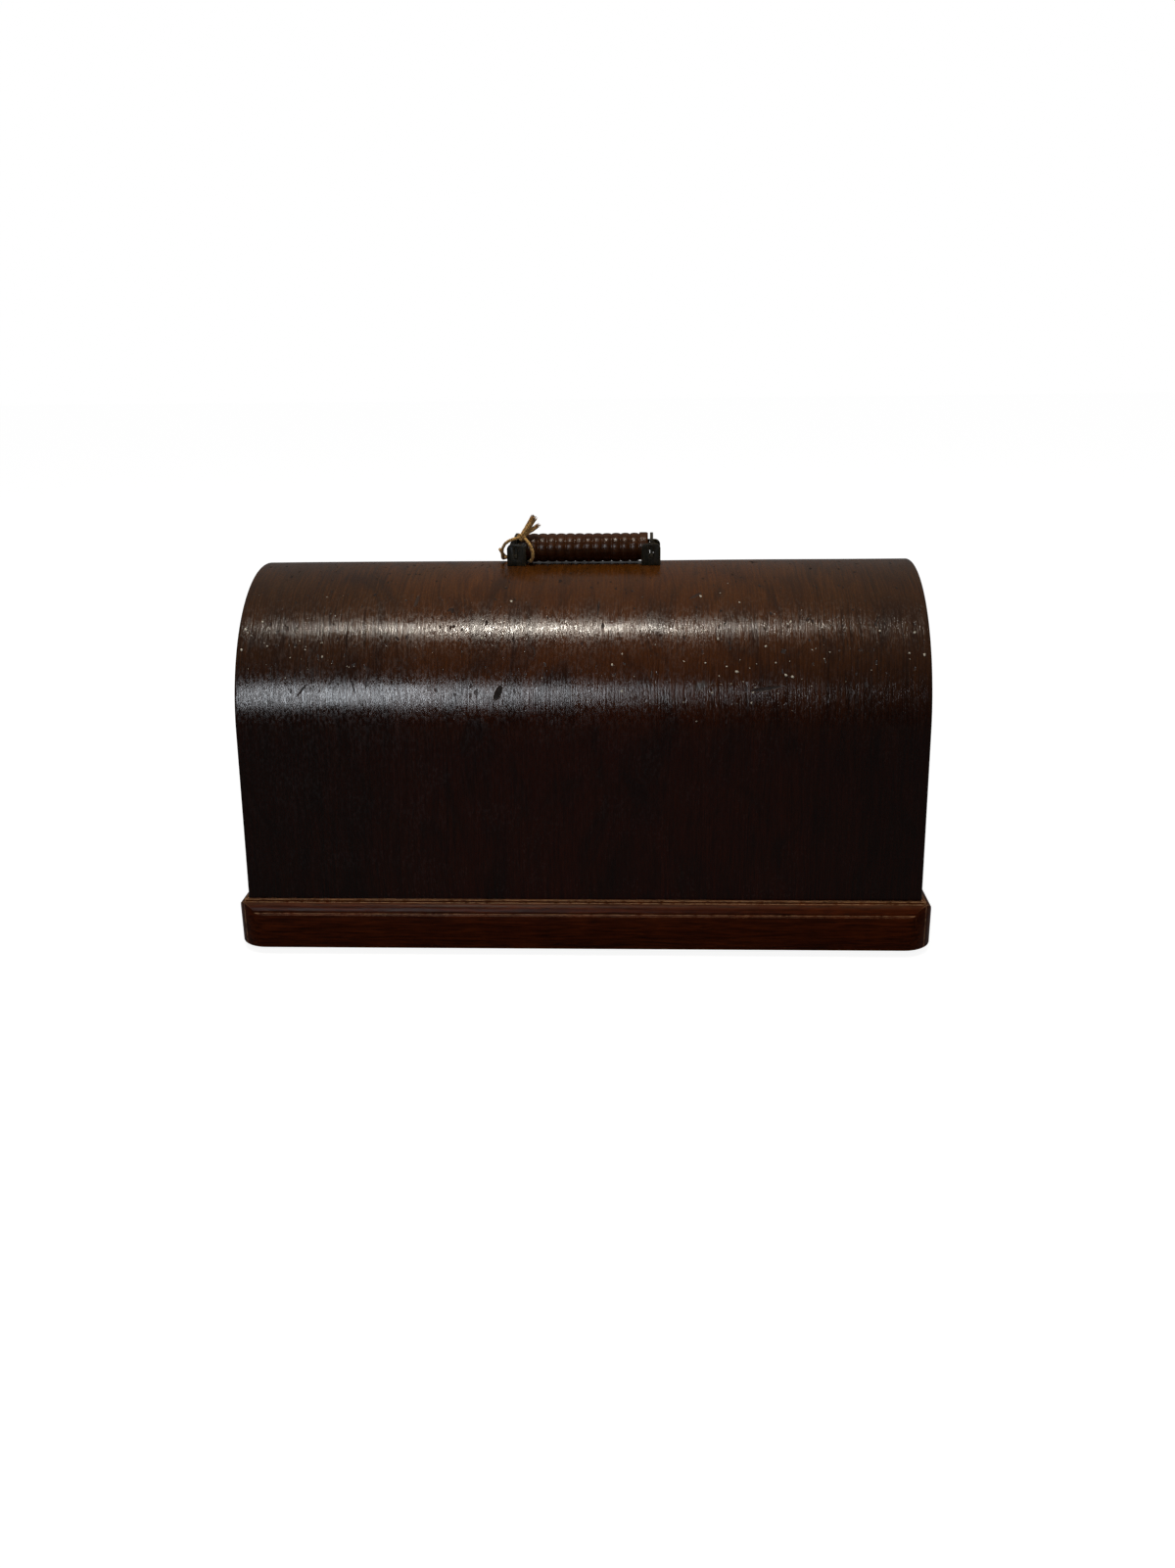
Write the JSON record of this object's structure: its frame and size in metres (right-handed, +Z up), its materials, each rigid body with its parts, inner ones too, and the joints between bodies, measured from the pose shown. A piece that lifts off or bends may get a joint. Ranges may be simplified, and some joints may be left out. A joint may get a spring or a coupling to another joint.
{
  "type": "sewing machine cover box",
  "caption": "Domed bentwood cover box on a moulded plinth, with a drop handle on slotted brackets, a fixed catch tongue and a key-turned hook lock.",
  "frame": {"origin": "under the middle of the cover, on the surface that its catch tongue touches; the rim is 5 mm higher", "axes": "+X along the cover to its lock end, +Y to the back, +Z up"},
  "size_m": [0.445, 0.222, 0.266],
  "materials": {
    "veneer": "varnished walnut veneer, satin gloss",
    "plinth_wood": "varnished walnut, satin gloss",
    "end_wood": "varnished walnut board",
    "raw_wood": "plain unvarnished wood",
    "grip_wood": "dark turned wood, polished by use",
    "black_iron": "black japanned iron",
    "steel": "dull steel",
    "brass": "tarnished brass",
    "twine": "jute twine"
  },
  "bodies": {
    "cover": {"bentwood_shell": "veneer", "front_rail": "plinth_wood", "back_rail": "plinth_wood", "left_rail": "plinth_wood", "right_rail": "plinth_wood", "left_end_board": "end_wood", "right_end_board": "end_wood", "corner_blocks": "raw_wood", "handle_block": "raw_wood", "left_bracket": "black_iron", "right_bracket": "black_iron", "bracket_screws": "steel", "lock_case": "steel", "lock_cover": "steel", "lock_face_plate": "brass", "lock_screws": "steel", "hook_pivot": "steel", "keyhole_escutcheon": "brass", "escutcheon_pins": "brass", "catch_plate": "brass", "catch_screws": "steel"},
    "handle": {"handle_grip": "grip_wood", "handle_rod": "steel", "left_end_plate": "steel", "right_end_plate": "steel", "twine_loop": "twine", "twine_ends": "twine", "twine_knot": "twine"},
    "hook": {"lock_hook": "steel"},
    "barrel": {"lock_barrel": "brass"}
  },
  "joints": [
    {"name": "handle_lift", "type": "slide", "parent": "cover", "child": "handle", "axis": [0, 0, 1], "range_m": [0, 0.005]},
    {"name": "key_turn", "type": "hinge", "parent": "cover", "child": "barrel", "pos_m": [0.214, 0, 0.0195], "axis": [-1, 0, 0], "range_deg": [0, 90]},
    {"name": "hook_swing", "type": "hinge", "parent": "cover", "child": "hook", "pos_m": [0.214, -0.01, 0.013], "axis": [-1, 0, 0], "range_deg": [0, 37]}
  ],
  "couplings": [
    {"joint": "hook_swing", "follows": "key_turn", "ratio": 0.411}
  ]
}
